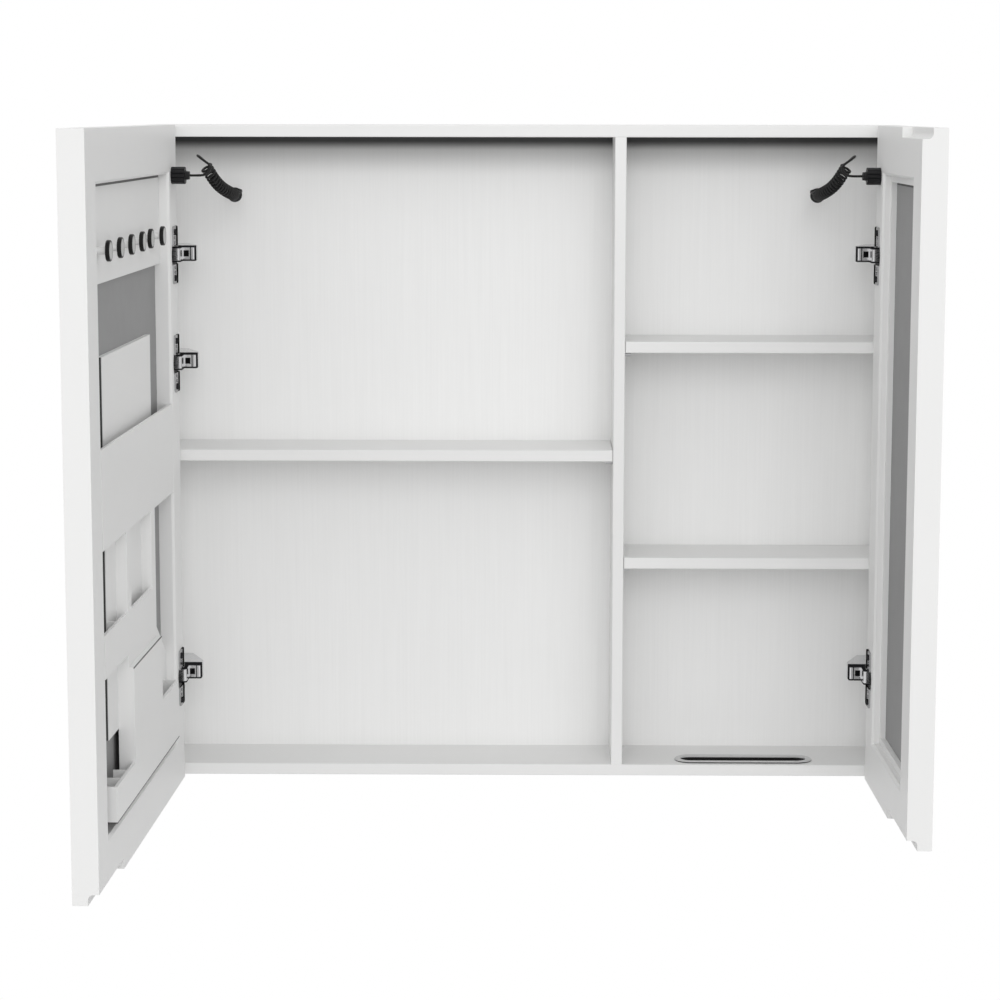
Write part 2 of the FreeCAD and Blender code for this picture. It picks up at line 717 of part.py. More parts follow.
def build_organizer(door):
    """Boards that make the niches, the open pockets and the proud lower fronts."""
    s0 = frame_width + insert_gap
    s3 = door["width"] - frame_width - insert_gap
    niche = (s3 - s0 - 2 * niche_strip) / 3
    hinge_strip = s0 + niche
    middle_start = hinge_strip + niche_strip
    free_strip = middle_start + niche
    free_start = free_strip + niche_strip
    panel_start = door["width"] / 2 - panel_width / 2
    panel = door_block(door, panel_start, panel_start + panel_width, insert_depth, left_recess,
                       panel_bottom, panel_top)
    save_on_door(door, "organizer_panel", panel)

    def pocket(board, start, end, front, floor, top):
        """Cuts a pocket that is open at the top and at the back of a board."""
        room = door_block(door, start, end, front + pocket_wall, insert_depth, floor + pocket_wall, top)
        return board.cut(room)

    top_front = door_block(door, s0, s3, 0, insert_depth, niche_top, organizer_top)
    top_front = pocket(top_front, s0 + pocket_wall, s3 - pocket_wall, 0, niche_top, organizer_top)
    save_on_door(door, "organizer_top_board", top_front)

    rail = door_block(door, middle_start, s3, 0, insert_depth, free_slot_top, niche_bottom)
    split = free_start + rail_pocket
    rooms = [(middle_start, free_strip), (free_start, split), (split + pocket_divider, s3 - pocket_wall)]
    for start, end in rooms:
        rail = pocket(rail, start, end, 0, free_slot_top, niche_bottom)
    rail = rail.fuse(door_block(door, middle_start, free_start, 0, insert_depth, fascia_top, free_slot_top))
    save_on_door(door, "organizer_middle_rail", rail.removeSplitter())

    long_strip = door_block(door, hinge_strip, middle_start, 0, insert_depth, fascia_top, niche_top)
    save_on_door(door, "organizer_long_strip", long_strip)
    short_strip = door_block(door, free_strip, free_start, 0, insert_depth, niche_bottom, niche_top)
    save_on_door(door, "organizer_short_strip", short_strip)

    corners = [(s0, ledge_top), (panel_start, ledge_top),
               (panel_start, slot_board_high), (s0, slot_board_low)]
    points = [door_point(door, s, insert_depth, z) for s, z in corners]
    slot_board = Part.Face(Part.makePolygon(points + points[:1])).extrude(V(0, -insert_board, 0))
    save_on_door(door, "organizer_slot_board", slot_board)

    lower_start = s0 + lower_end_gap
    lower_end = s3 - lower_end_gap
    floor = door_block(door, lower_start, hinge_strip, -lower_proud, insert_depth,
                       ledge_top, hinge_slot_floor)
    split = hinge_strip - slot_pocket
    for start, end in ((lower_start + pocket_wall, split - pocket_divider), (split, hinge_strip)):
        floor = pocket(floor, start, end, -lower_proud, ledge_top, hinge_slot_floor)
    save_on_door(door, "organizer_slot_floor", floor)
    fascia = door_block(door, hinge_strip, free_start, -lower_proud, insert_depth, ledge_top, fascia_top)
    save_on_door(door, "organizer_fascia", fascia)

    ledge = door_block(door, lower_start, lower_end, -lower_proud, insert_depth, ledge_bottom, ledge_top)
    tray = door_block(door, free_start, lower_end, -lower_proud, insert_depth, ledge_top, tray_top)
    tray_end = lower_end - pocket_wall
    ledge = pocket(ledge.fuse(tray), free_start, tray_end, -lower_proud, ledge_bottom, tray_top)
    save_on_door(door, "organizer_ledge", ledge.removeSplitter())
    tray_front = pocket_wall - lower_proud
    tray_floor = ledge_bottom + pocket_wall
    rack = door_block(door, free_start, tray_end, tray_front, insert_depth,
                      tray_floor, tray_floor + rack_base)
    for number in range(1, rack_places):
        s = free_start + (tray_end - free_start) * number / rack_places - pocket_divider / 2
        divider = door_block(door, s, s + pocket_divider, tray_front, insert_depth, tray_floor, tray_top)
        rack = rack.fuse(divider)
    save_on_door(door, "tube_rack", rack.removeSplitter())


# Curly leads
def arc_edge(start, corner, end):
    """Arc that leaves start and reaches end along the two sides of a corner of equal sides."""
    to_start = start - corner
    to_end = end - corner
    size = to_start.Length
    bisector = to_start + to_end
    half_turn = to_start.getAngle(to_end * -1) / 2
    if half_turn < 0.0005:
        return Part.makeLine(start, end)
    radius = size / math.tan(half_turn)
    lift = math.hypot(radius, size) - radius
    middle = corner + bisector.normalize() * lift
    lead_radii.append(radius)
    return Part.Arc(start, middle, end).toShape()


def biarc(p0, t0, p1, t1):
    """Two tangent arcs from p0 along t0 to p1 along t1."""
    chord = p1 - p0
    both = t0 + t1
    a = 2 * (1 - t0.dot(t1))
    b = 2 * chord.dot(both)
    c = -chord.dot(chord)
    if abs(a) < 1e-9:
        reach = -c / b
    else:
        reach = (-b + math.sqrt(b * b - 4 * a * c)) / (2 * a)
    q0 = p0 + t0 * reach
    q1 = p1 - t1 * reach
    joint = (q0 + q1) * 0.5
    return [arc_edge(p0, q0, joint), arc_edge(joint, q1, p1)]


def side_point(side, inset, back, drop):
    """Point given from the outside, the front and the top of the cabinet."""
    return V(side * (half_width - inset), front_y + back, bottom_z + cabinet_height - drop)


def coil_point(side, axis, turn):
    """Point of the helix after some turns."""
    share = (turn - coil_start) / (coil_turns - coil_start)
    place = axis.parameterAtDistance(share * axis.length(), axis.FirstParameter)
    centre = axis.value(place)
    along = V(*axis.tangent(place)[0])
    inwards = V(-side, 0, 0)
    across = (inwards - along * along.dot(inwards)).normalize()
    back = along.cross(across) * side
    phase = 2 * math.pi * turn
    return centre + across * (coil_radius * math.sin(phase)) + back * (coil_radius * math.cos(phase))


def coil_tangent(side, axis, turn):
    """Direction of the helix after some turns."""
    step = 0.001
    before = coil_point(side, axis, max(turn - step, coil_start))
    after = coil_point(side, axis, min(turn + step, coil_turns))
    return (after - before).normalize()


def lead_path(door):
    """Wire from the gland on the door, through the coil, to the grommet on the back panel."""
    side = door["side"]
    axis = Part.BSplineCurve()
    axis.buildFromPoles([side_point(side, *point) for point in coil_route], False, 2)
    gland_end = door_point(door, gland_inset, -gland_length - gland_neck_length, gland_height)
    tip = swing(door, Part.Vertex(gland_end)).Point
    root = swing(door, Part.Vertex(door_point(door, gland_inset, 0, gland_height))).Point
    out = (tip - root).normalize()
    run = tip + out * lead_straight
    ends = [(run, out)]
    for place, (inwards, backwards, upwards) in lead_rise:
        ends.append((side_point(side, *place), V(-side * inwards, backwards, upwards).normalize()))
    count = int(round(coil_turns * 2))
    for number in range(count + 1):
        turn = coil_start + (coil_turns - coil_start) * number / count
        ends.append((coil_point(side, axis, turn), coil_tangent(side, axis, turn)))
    nose = side_point(side, grommet_inset, inside_depth - grommet_high, grommet_drop)
    last = nose - V(0, lead_straight, 0)
    ends.append((last, V(0, 1, 0)))
    edges = [Part.makeLine(tip, run)]
    for (p0, t0), (p1, t1) in zip(ends, ends[1:]):
        edges += biarc(p0, t0, p1, t1)
    edges.append(Part.makeLine(last, nose))
    return Part.Wire(edges), out


def self_gap(path):
    """Least gap of a wound lead to itself, on points spaced along it."""
    spacing = 0.6
    points = path.discretize(Distance=spacing)
    skip = int(6 * lead_radius / spacing)
    least = path.Length
    place = points[0]
    for i, p in enumerate(points):
        for q in points[i + skip:]:
            distance = p.distanceToPoint(q)
            if distance < least:
                least = distance
                place = p
    return least - 2 * lead_radius, place


def facet_points(path):
    """Points of a path where its tube changes from one flat to the next."""
    points = [path.Edges[0].firstVertex().Point]
    for edge in path.Edges:
        turn = edge.Length / edge.Curve.Radius if isinstance(edge.Curve, Part.Circle) else 0.0
        flats = max(1, math.ceil(math.degrees(turn) / lead_facet_turn))
        points += edge.discretize(Number=flats + 1)[1:]
    return points


def faceted_tube(points, profile):
    """Tube with a profile of flats, mitred at each point of its run."""
    corners = [vertex.Point for vertex in profile.OrderedVertexes]
    rings = [corners]
    for before, here, after in zip(points, points[1:], points[2:] + [points[-1] * 2 - points[-2]]):
        along = (here - before).normalize()
        normal = along + (after - here).normalize()
        corners = [c + along * ((here - c).dot(normal) / along.dot(normal)) for c in corners]
        rings.append(corners)
    return Part.makeLoft([Part.makePolygon(r + r[:1]) for r in rings], True, True)


def build_lead(door, label):
    """One curly lead as a single tube, with its length, bends and least gap printed."""
    lead_radii.clear()
    path, out = lead_path(door)
    start = path.Edges[0].Vertexes[0].Point
    profile = ring(start, out, lead_radius, lead_sides)
    points = facet_points(path)
    tube = faceted_tube(points, profile)
    save(label + "_lead", tube)
    run = sum(p.distanceToPoint(q) for p, q in zip(points, points[1:]))
    expected = Part.Face(profile).Area * run
    gap, place = self_gap(path)
    print(label, "lead length %.1f, volume ratio %.4f" % (path.Length, tube.Volume / expected))
    print("least bend radius %.2f, least gap to itself %.2f near" % (min(lead_radii), gap), place)


def gland(door):
    """Fluted gland that stands on the door, with the neck that the lead leaves."""
    outline = []
    half_flute = gland_flute_depth / gland_radius
    for number in range(gland_flutes):
        turn = 2 * math.pi * number / gland_flutes
        half_land = math.pi / gland_flutes - half_flute
        for swerve in (-half_land, 0.0, half_land):
            outline.append((turn + swerve, gland_radius))
        outline.append((turn + half_land + half_flute, gland_radius - gland_flute_depth))
    points = []
    for turn, radius in outline:
        s = gland_inset + radius * math.cos(turn)
        points.append(door_point(door, s, 0, gland_height + radius * math.sin(turn)))
    body = Part.Face(Part.makePolygon(points + points[:1])).extrude(V(0, gland_length, 0))
    neck_root = door_point(door, gland_inset, -gland_length, gland_height)
    neck = Part.makeCone(gland_neck_radius, gland_neck_end_radius, gland_neck_length, neck_root, V(0, 1, 0))
    return body.fuse(neck)


def grommet(side):
    """Domed grommet in the back panel that the lead goes into."""
    face = side_point(side, grommet_inset, inside_depth, grommet_drop)
    dome = Part.makeCone(grommet_radius, grommet_nose_radius, grommet_high, face, V(0, -1, 0))
    sleeve = Part.makeCylinder(grommet_sleeve_radius, back_board, face, V(0, 1, 0))
    return dome.fuse(sleeve)


lead_radii = []
build_cabinet()
build_bezel()
build_rails()
build_hinges()
build_frame(left_door, "left", [False])
build_frame(right_door, "right", [False, True])
build_mirror(left_door, "left", left_backing_thick)
build_mirror(right_door, "right", right_backing_thick)
build_bead(right_door)
build_hooks(left_door)
build_organizer(left_door)
save("grommets", Part.makeCompound([grommet(-1), grommet(1)]))
for each_door, each_label in ((left_door, "left"), (right_door, "right")):
    save_on_door(each_door, each_label + "_lead_gland", gland(each_door))
    build_lead(each_door, each_label)
print(len(exported), "nodes")
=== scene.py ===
import json
import math

import bpy
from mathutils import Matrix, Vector


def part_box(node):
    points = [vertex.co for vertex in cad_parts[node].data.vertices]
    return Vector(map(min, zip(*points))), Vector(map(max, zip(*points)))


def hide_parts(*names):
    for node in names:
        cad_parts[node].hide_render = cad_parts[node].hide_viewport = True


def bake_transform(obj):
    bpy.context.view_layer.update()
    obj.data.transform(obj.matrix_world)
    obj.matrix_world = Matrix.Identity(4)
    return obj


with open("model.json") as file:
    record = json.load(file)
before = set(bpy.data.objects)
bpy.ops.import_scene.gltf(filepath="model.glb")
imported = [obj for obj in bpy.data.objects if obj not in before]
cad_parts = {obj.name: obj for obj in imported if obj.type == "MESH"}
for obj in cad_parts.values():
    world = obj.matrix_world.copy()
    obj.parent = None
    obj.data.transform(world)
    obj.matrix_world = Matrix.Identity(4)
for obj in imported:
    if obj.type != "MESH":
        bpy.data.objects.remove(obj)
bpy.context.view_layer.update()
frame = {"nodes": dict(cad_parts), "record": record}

nodes = frame["nodes"]
scene = bpy.context.scene
bpy.ops.object.select_all(action="DESELECT")  # the loaded nodes start selected
print("frame loaded with", len(nodes), "nodes")

# directions in the frame: the wall is at the back
up = (0, 0, 1)
down = (0, 0, -1)
back = (0, 1, 0)
front = (0, -1, 0)
# away from the inside face of each open door
doorInwards = {"left": (0.99939, -0.0349, 0), "right": (-0.99985, -0.01745, 0)}


def addNode(tree, kind, place, **values):
    node = tree.nodes.new(kind)
    node.location = place
    for name, value in values.items():
        setattr(node, name, value)
    return node


def setInputs(node, values):
    for name, value in values.items():
        node.inputs[name].default_value = value


def newGroup(name, inputs, outputs):
    group = bpy.data.node_groups.new(name, "ShaderNodeTree")
    for label, kind in inputs.items():
        group.interface.new_socket(label, in_out="INPUT", socket_type="NodeSocket" + kind)
    for label, kind in outputs.items():
        group.interface.new_socket(label, in_out="OUTPUT", socket_type="NodeSocket" + kind)
    start = addNode(group, "NodeGroupInput", (-900, 0))
    end = addNode(group, "NodeGroupOutput", (700, 0))
    return group, start, end


def newMaterial(name):
    material = bpy.data.materials.new(name)
    material.use_nodes = True
    tree = material.node_tree
    shader = tree.nodes["Principled BSDF"]
    coords = addNode(tree, "ShaderNodeTexCoord", (-1100, 0))
    return material, tree, shader, coords.outputs["Object"]


# sprayed paint: slow drift of the tone, fine orange peel and a little change of gloss
sprayFinish = {"driftScale": 7.0, "driftDetail": 3.0, "glossScale": 38.0, "glossDetail": 4.0,
               "peelDetail": 1.5, "bumpStrength": 0.35}


def makeSprayGroup():
    group, start, end = newGroup(
        "sprayedFinish",
        {"Vector": "Vector", "Color": "Color", "Drift": "Float", "Peel Scale": "Float",
         "Gloss Low": "Float", "Gloss High": "Float"},
        {"Color": "Color", "Roughness": "Float", "Height": "Float"})
    link = group.links.new
    slow = addNode(group, "ShaderNodeTexNoise", (-600, 250))
    setInputs(slow, {"Scale": sprayFinish["driftScale"], "Detail": sprayFinish["driftDetail"]})
    link(start.outputs["Vector"], slow.inputs["Vector"])
    centred = addNode(group, "ShaderNodeMath", (-400, 250), operation="SUBTRACT")
    setInputs(centred, {1: 0.5})  # the noise swings about a half
    link(slow.outputs["Fac"], centred.inputs[0])
    scaled = addNode(group, "ShaderNodeMath", (-220, 250), operation="MULTIPLY_ADD")
    setInputs(scaled, {2: 1.0})  # and the tone about one
    link(centred.outputs[0], scaled.inputs[0])
    link(start.outputs["Drift"], scaled.inputs[1])
    tone = addNode(group, "ShaderNodeVectorMath", (0, 250), operation="SCALE")
    link(start.outputs["Color"], tone.inputs[0])
    link(scaled.outputs[0], tone.inputs["Scale"])
    link(tone.outputs[0], end.inputs["Color"])
    patch = addNode(group, "ShaderNodeTexNoise", (-600, 0))
    setInputs(patch, {"Scale": sprayFinish["glossScale"], "Detail": sprayFinish["glossDetail"]})
    link(start.outputs["Vector"], patch.inputs["Vector"])
    gloss = addNode(group, "ShaderNodeMapRange", (-300, 0))
    link(patch.outputs["Fac"], gloss.inputs["Value"])
    link(start.outputs["Gloss Low"], gloss.inputs["To Min"])
    link(start.outputs["Gloss High"], gloss.inputs["To Max"])
    link(gloss.outputs["Result"], end.inputs["Roughness"])
    peel = addNode(group, "ShaderNodeTexNoise", (-600, -250))
    setInputs(peel, {"Detail": sprayFinish["peelDetail"]})
    link(start.outputs["Vector"], peel.inputs["Vector"])
    link(start.outputs["Peel Scale"], peel.inputs["Scale"])
    link(peel.outputs["Fac"], end.inputs["Height"])
    return group


# streaks that run along one axis, as on laminate or rolled metal
streakFinish = {"detail": 3.0, "roughness": 0.6, "lowest": 0.25, "highest": 0.75}


def makeStreakGroup():
    group, start, end = newGroup(
        "drawnStreaks",
        {"Vector": "Vector", "Stretch": "Vector", "Scale": "Float", "Low": "Float", "High": "Float"},
        {"Factor": "Float", "Height": "Float"})
    link = group.links.new
    pull = addNode(group, "ShaderNodeVectorMath", (-650, 0), operation="MULTIPLY")
    link(start.outputs["Vector"], pull.inputs[0])
    link(start.outputs["Stretch"], pull.inputs[1])
    streak = addNode(group, "ShaderNodeTexNoise", (-450, 0))
    setInputs(streak, {"Detail": streakFinish["detail"], "Roughness": streakFinish["roughness"]})
    link(pull.outputs[0], streak.inputs["Vector"])
    link(start.outputs["Scale"], streak.inputs["Scale"])
    spread = addNode(group, "ShaderNodeMapRange", (-200, 100))
    setInputs(spread, {"From Min": streakFinish["lowest"], "From Max": streakFinish["highest"]})
    link(streak.outputs["Fac"], spread.inputs["Value"])
    link(start.outputs["Low"], spread.inputs["To Min"])
    link(start.outputs["High"], spread.inputs["To Max"])
    link(spread.outputs["Result"], end.inputs["Factor"])
    link(streak.outputs["Fac"], end.inputs["Height"])
    return group


sprayGroup = makeSprayGroup()
streakGroup = makeStreakGroup()
print("shared node groups ready")


# returns the sprayed colour; the bump follows the peel unless another height is given
def addSpray(tree, coords, shader, look, height=None):
    spray = addNode(tree, "ShaderNodeGroup", (-700, 100), node_tree=sprayGroup)
    glossLow, glossHigh = look["gloss"]
    setInputs(spray, {"Color": (*look["color"], 1), "Drift": look["drift"], "Peel Scale": look["peel"],
                      "Gloss Low": glossLow, "Gloss High": glossHigh})
    bump = addNode(tree, "ShaderNodeBump", (-300, -250))
    setInputs(bump, {"Strength": sprayFinish["bumpStrength"], "Distance": look["bump"]})
    link = tree.links.new
    link(coords, spray.inputs["Vector"])
    link(spray.outputs["Color"], shader.inputs["Base Color"])
    link(spray.outputs["Roughness"], shader.inputs["Roughness"])
    link(spray.outputs["Height"] if height is None else height, bump.inputs["Height"])
    link(bump.outputs["Normal"], shader.inputs["Normal"])
    return spray.outputs["Color"]


# rises to 1 across a plane, for painted shade and reflection marks that stay on the piece
def planeMask(tree, coords, normal, low, high, least=0.0):
    reach = addNode(tree, "ShaderNodeVectorMath", (-900, -450), operation="DOT_PRODUCT")
    setInputs(reach, {1: normal})
    mask = addNode(tree, "ShaderNodeMapRange", (-700, -450), interpolation_type="SMOOTHSTEP")
    setInputs(mask, {"From Min": low, "From Max": high, "To Min": least})
    tree.links.new(coords, reach.inputs[0])
    tree.links.new(reach.outputs["Value"], mask.inputs["Value"])
    return mask.outputs["Result"]


def joinMasks(tree, operation, first, second):
    node = addNode(tree, "ShaderNodeMath", (-400, -450), operation=operation)
    tree.links.new(first, node.inputs[0])
    tree.links.new(second, node.inputs[1])
    return node.outputs[0]


# marks the base colour with another one where the mask is 0
def mixInto(tree, shader, mask, color, markColor):
    mix = addNode(tree, "ShaderNodeMix", (-150, 250), data_type="RGBA")
    setInputs(mix, {6: (*markColor, 1)})  # 6 and 7 are the colour sockets
    tree.links.new(mask, mix.inputs[0])
    tree.links.new(color, mix.inputs[7])
    tree.links.new(mix.outputs[2], shader.inputs["Base Color"])
    return mix.outputs[2]


boardPaint = {"color": (0.80, 0.80, 0.795), "drift": 0.025, "peel": 850.0, "gloss": (0.40, 0.52),
              "bump": 0.00006, "ior": 1.48}
greyBacking = {"color": (0.28, 0.28, 0.282), "drift": 0.10, "peel": 1500.0, "gloss": (0.55, 0.68),
               "bump": 0.00008, "ior": 1.48}
# faces lie along the left door's inward direction, the rest is measured in from a piece's own box
# painted shade: near-black lines along the door boards' edges, for the shade in the gaps and recesses
# beside them
doorShadeLines = {"color": (0.05, 0.05, 0.05), "fade": 0.0004, "hookBoardTop": 0.0030, "beadTop": 0.0098,
             "fasciaTop": 0.0011, "fasciaFace": -0.3587, "ledgeLow": 0.0011, "panelEnd": 0.0006,
             "panelFace": -0.37524}


# a painted shade line is dark where a point lies before the start of every plane given for it
def makePaint(name, look, shadeLines=()):
    material, tree, shader, coords = newMaterial(name)
    color = addSpray(tree, coords, shader, look)
    shader.inputs["IOR"].default_value = look["ior"]
    clear = None
    for normal, start in shadeLines:
        mask = planeMask(tree, coords, normal, start, start + doorShadeLines["fade"])
        clear = mask if clear is None else joinMasks(tree, "MAXIMUM", clear, mask)
    # paints the shade lines near black
    if clear is not None:
        mixInto(tree, shader, clear, color, doorShadeLines["color"])
    return material


# boards of the doors with a painted shade line along an edge, where the gap or recess beside it lies in
# shade
def makeShadeLinePaints():
    inwards = doorInwards["left"]
    outwards = tuple(-part for part in inwards)
    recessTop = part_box("hook_board")[1][2] - doorShadeLines["hookBoardTop"]
    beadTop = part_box("right_mirror_bead")[1][2] - doorShadeLines["beadTop"]
    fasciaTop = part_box("organizer_fascia")[1][2] - doorShadeLines["fasciaTop"]
    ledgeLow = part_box("organizer_ledge")[0][2] + doorShadeLines["ledgeLow"]
    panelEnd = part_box("organizer_panel")[0][1] + doorShadeLines["panelEnd"]
    fasciaShadeLine = [(down, -fasciaTop), (outwards, -doorShadeLines["fasciaFace"])]
    panelShadeLine = [(back, panelEnd), (inwards, doorShadeLines["panelFace"])]
    return {
        "hook_board": makePaint("hookBoardPaint", boardPaint, [(down, -recessTop)]),
        "organizer_fascia": makePaint("fasciaPaint", boardPaint, fasciaShadeLine),
        "organizer_ledge": makePaint("ledgePaint", boardPaint, [(up, ledgeLow)]),
        "organizer_panel": makePaint("panelPaint", boardPaint, panelShadeLine),
        "right_mirror_backing": makePaint("rightBackingPaint", greyBacking, [(down, -beadTop)]),
    }


backLaminate = {"color": (0.86, 0.86, 0.855), "drift": 0.02, "peel": 700.0, "gloss": (0.46, 0.58),
                "bump": 0.00004, "grainScale": 420.0, "grainLow": 0.975, "grainHigh": 1.015,
                "grainStretch": (1.0, 1.0, 0.015), "shadeLineColor": (0.03, 0.03, 0.03), "shadeLineDrop": 0.0045,
                "shadeLineFade": 0.0115, "shadeReach": 0.040, "shadeLow": 0.55}


# upright grain, with painted shade under the top board: a near-black painted shade line at the top edge
# and a longer soft painted shade below it
def makeBackLaminate():
    look = backLaminate
    material, tree, shader, coords = newMaterial("backLaminate")
    grain = addNode(tree, "ShaderNodeGroup", (-700, 400), node_tree=streakGroup)
    setInputs(grain, {"Stretch": look["grainStretch"], "Scale": look["grainScale"],
                      "Low": look["grainLow"], "High": look["grainHigh"]})
    color = addSpray(tree, coords, shader, look, grain.outputs["Height"])
    tinted = addNode(tree, "ShaderNodeVectorMath", (-350, 350), operation="SCALE")
    link = tree.links.new
    link(coords, grain.inputs["Vector"])
    link(color, tinted.inputs[0])
    link(grain.outputs["Factor"], tinted.inputs["Scale"])
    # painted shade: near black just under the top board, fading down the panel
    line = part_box("back_panel")[1][2] - look["shadeLineDrop"]
    shadeLine = planeMask(tree, coords, down, -line, look["shadeLineFade"] - line)
    shade = planeMask(tree, coords, down, -line, look["shadeReach"] - line, look["shadeLow"])
    mixInto(tree, shader, joinMasks(tree, "MULTIPLY", shadeLine, shade), tinted.outputs[0], look["shadeLineColor"])
    return material


blackPlastic = {"color": (0.008, 0.008, 0.009), "drift": 0.3, "peel": 2600.0, "gloss": (0.34, 0.46),
                "bump": 0.00005, "specular": 0.25}
leadRubber = {"color": (0.008, 0.008, 0.008), "drift": 0.3, "peel": 3200.0, "gloss": (0.42, 0.54),
              "bump": 0.00004, "specular": 0.35}
# the light grey is a painted reflection on the black disc faces, and the stems' own light colour
hookSheenPlastic = {"color": (0.50, 0.50, 0.495), "drift": 0.08, "peel": 2200.0, "gloss": (0.36, 0.46),
               "bump": 0.00004, "specular": 0.3, "rimColor": (0.004, 0.004, 0.004), "sheenRadius": 0.0080,
               "spacing": 0.0593, "along": (-0.0349, -0.99939, 0.0)}
bezelShadedPlastic = {"color": (0.56, 0.56, 0.56), "drift": 0.08, "peel": 1800.0, "gloss": (0.30, 0.40),
                "bump": 0.00004, "specular": 0.4, "wellShadeColor": (0.004, 0.004, 0.004), "wellShadeFade": 0.0004,
                "rimSkin": 0.0003, "rimShadeSlope": 0.045}


def makePlastic(name, look):
    material, tree, shader, coords = newMaterial(name)
    color = addSpray(tree, coords, shader, look)
    shader.inputs["Specular IOR Level"].default_value = look["specular"]
    return material, tree, shader, coords, color


# black hooks with light stems and a painted reflection: the disc faces are painted light grey for the
# reflection they show and the rims stay black; the mask is how far a point lies from the middle of the
# nearest hook
def makeHookSheenPlastic():
    material, tree, shader, coords, color = makePlastic("hookSheenPlastic", hookSheenPlastic)
    low, high = (Vector(corner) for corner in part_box("hooks"))
    halfSpacing = hookSheenPlastic["spacing"] / 2
    away = addNode(tree, "ShaderNodeVectorMath", (-900, -600), operation="SUBTRACT")
    setInputs(away, {1: (low + high) / 2})
    split = addNode(tree, "ShaderNodeSeparateXYZ", (-700, -700))
    along = addNode(tree, "ShaderNodeVectorMath", (-700, -550), operation="DOT_PRODUCT")
    setInputs(along, {1: hookSheenPlastic["along"]})
    shifted = addNode(tree, "ShaderNodeMath", (-550, -550), operation="ADD")
    setInputs(shifted, {1: halfSpacing})
    nearest = addNode(tree, "ShaderNodeMath", (-400, -550), operation="PINGPONG")
    setInputs(nearest, {1: halfSpacing})
    reach = addNode(tree, "ShaderNodeCombineXYZ", (-250, -600))
    distance = addNode(tree, "ShaderNodeVectorMath", (-100, -600), operation="LENGTH")
    face = addNode(tree, "ShaderNodeMath", (50, -600), operation="LESS_THAN")
    setInputs(face, {1: hookSheenPlastic["sheenRadius"]})
    link = tree.links.new
    link(coords, away.inputs[0])
    link(away.outputs[0], split.inputs[0])
    link(away.outputs[0], along.inputs[0])
    link(along.outputs["Value"], shifted.inputs[0])
    link(shifted.outputs[0], nearest.inputs[0])
    link(nearest.outputs[0], reach.inputs["X"])
    link(split.outputs["Z"], reach.inputs["Z"])
    link(reach.outputs[0], distance.inputs[0])
    link(distance.outputs["Value"], face.inputs[0])
    mixInto(tree, shader, face.outputs[0], color, hookSheenPlastic["rimColor"])
    return material


# satin ring with painted shade: black painted down in the slot and round its outer edge
def makeShadedBezel():
    material, tree, shader, coords, color = makePlastic("bezelShadedPlastic", bezelShadedPlastic)
    low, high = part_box("tissue_bezel")
    slope = bezelShadedPlastic["rimShadeSlope"]  # painted shade on the outer edge in front, and a light rim inside at the back
    rimTop = high[2] - bezelShadedPlastic["rimSkin"] + slope * low[1]
    above = planeMask(tree, coords, (0, slope, 1), rimTop - bezelShadedPlastic["wellShadeFade"], rimTop)
    mixInto(tree, shader, above, color, bezelShadedPlastic["wellShadeColor"])
    return material


# low and high are the roughness between the streaks, grazing is how bright the metal turns edge on
nickelPlate = {"color": (0.66, 0.66, 0.67), "grazing": 1.0, "low": 0.10, "high": 0.24, "scale": 900.0}
zincPlate = {"color": (0.50, 0.50, 0.51), "grazing": 1.0, "low": 0.26, "high": 0.42, "scale": 1400.0}
# screw heads painted near black as painted shade for their cross recesses
screwPaintedShade = {"color": (0.03, 0.03, 0.032), "grazing": 0.25, "low": 0.30, "high": 0.45, "scale": 1400.0}
cupPlate = {"color": (0.52, 0.52, 0.53), "grazing": 0.65, "low": 0.14, "high": 0.28, "scale": 900.0}
platedFinish = {"stretch": (1.0, 0.06, 1.0), "cloudScale": 120.0, "cloudDetail": 2.0, "cloudDark": 0.9,
                "bumpStrength": 0.3, "bump": 0.00002}


def makePlatedMetal(name, look):
    material, tree, shader, coords = newMaterial(name)
    grazing = look["grazing"]
    setInputs(shader, {"Metallic": 1.0, "Specular Tint": (grazing, grazing, grazing, 1)})
    streak = addNode(tree, "ShaderNodeGroup", (-700, 0), node_tree=streakGroup)
    setInputs(streak, {"Stretch": platedFinish["stretch"], "Scale": look["scale"],
                       "Low": look["low"], "High": look["high"]})
    cloud = addNode(tree, "ShaderNodeTexNoise", (-700, 300))
    setInputs(cloud, {"Scale": platedFinish["cloudScale"], "Detail": platedFinish["cloudDetail"]})
    ramp = addNode(tree, "ShaderNodeValToRGB", (-450, 300))
    ramp.color_ramp.elements[0].color = (*[c * platedFinish["cloudDark"] for c in look["color"]], 1)
    ramp.color_ramp.elements[1].color = (*look["color"], 1)
    bump = addNode(tree, "ShaderNodeBump", (-300, -250))
    setInputs(bump, {"Strength": platedFinish["bumpStrength"], "Distance": platedFinish["bump"]})
    link = tree.links.new
    link(coords, streak.inputs["Vector"])
    link(coords, cloud.inputs["Vector"])
    link(cloud.outputs["Fac"], ramp.inputs["Fac"])
    link(ramp.outputs["Color"], shader.inputs["Base Color"])
    link(streak.outputs["Factor"], shader.inputs["Roughness"])
    link(streak.outputs["Height"], bump.inputs["Height"])
    link(bump.outputs["Normal"], shader.inputs["Normal"])
    return material, tree, shader, coords, ramp.outputs["Color"]


# paints matt black instead of plated where the mask is 0, as painted shade and painted dark reflection
def paintBlackShade(tree, shader, mask, color, markColor):
    tree.links.new(mask, shader.inputs["Metallic"])
    shader.inputs["Specular IOR Level"].default_value = 0.0
    return mixInto(tree, shader, mask, color, markColor)


# the faces of the flanges lie along each door's inward direction
# painted shade inside the cup and along the lip
hingeCup = {"wellFace": {"left": -0.36355, "right": -0.36596}, "wellShadeFade": 0.0015,
            "wellShadeColor": (0.55, 0.55, 0.55), "lip": 0.0165, "lipFade": 0.001,
            "lipShadeColor": (0.012, 0.012, 0.012)}


